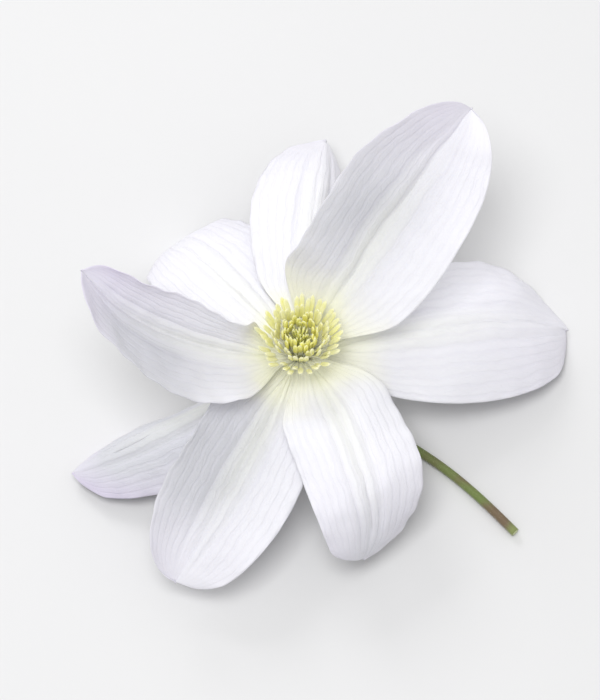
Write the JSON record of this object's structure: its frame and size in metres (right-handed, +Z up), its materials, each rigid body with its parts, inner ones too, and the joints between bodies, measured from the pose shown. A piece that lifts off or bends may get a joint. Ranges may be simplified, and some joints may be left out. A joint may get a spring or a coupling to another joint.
{
  "type": "clematis flower",
  "caption": "Picked clematis flower lying face up: broad overlapping sepals round a tuft of stamens and pistils, on a short bent stalk.",
  "frame": {"origin": "centre of the flower's box on the surface it rests on", "axes": "+Z up through the open face of the flower, +Y towards the sepal that stands at the rear, +X towards the wide sepal at the right"},
  "size_m": [0.12, 0.1182, 0.0528],
  "materials": {
    "sepal": "matte satin, white with a lilac blush, veined",
    "stamen": "matte, pale yellow-green filament and yellow anther",
    "pistil": "silky, yellow-green",
    "stalk": "matte, downy green with a brown-purple tint"
  },
  "bodies": {
    "root": {"sepal_rear_right": "sepal", "sepal_right": "sepal", "sepal_front": "sepal", "sepal_front_left": "sepal", "sepal_left_low": "sepal", "sepal_left": "sepal", "sepal_rear_left": "sepal", "sepal_rear": "sepal", "stamen_outer_01": "stamen", "stamen_outer_02": "stamen", "stamen_outer_03": "stamen", "stamen_outer_04": "stamen", "stamen_outer_05": "stamen", "stamen_outer_06": "stamen", "stamen_outer_07": "stamen", "stamen_outer_08": "stamen", "stamen_outer_09": "stamen", "stamen_outer_10": "stamen", "stamen_outer_11": "stamen", "stamen_outer_12": "stamen", "stamen_outer_13": "stamen", "stamen_middle_01": "stamen", "stamen_middle_02": "stamen", "stamen_middle_03": "stamen", "stamen_middle_04": "stamen", "stamen_middle_05": "stamen", "stamen_middle_06": "stamen", "stamen_middle_07": "stamen", "stamen_middle_08": "stamen", "stamen_middle_09": "stamen", "stamen_middle_10": "stamen", "stamen_middle_11": "stamen", "stamen_inner_01": "stamen", "stamen_inner_02": "stamen", "stamen_inner_03": "stamen", "stamen_inner_04": "stamen", "stamen_inner_05": "stamen", "stamen_inner_06": "stamen", "stamen_inner_07": "stamen", "stamen_inner_08": "stamen", "stamen_inner_09": "stamen", "stamen_inner_10": "stamen", "pistil_centre_01": "pistil", "pistil_inner_01": "pistil", "pistil_inner_02": "pistil", "pistil_inner_03": "pistil", "pistil_inner_04": "pistil", "pistil_outer_01": "pistil", "pistil_outer_02": "pistil", "pistil_outer_03": "pistil", "pistil_outer_04": "pistil", "pistil_outer_05": "pistil", "pistil_outer_06": "pistil", "pistil_outer_07": "pistil", "pistil_outer_08": "pistil", "pistil_outer_09": "pistil", "flower_stalk": "stalk"}
  },
  "joints": []
}
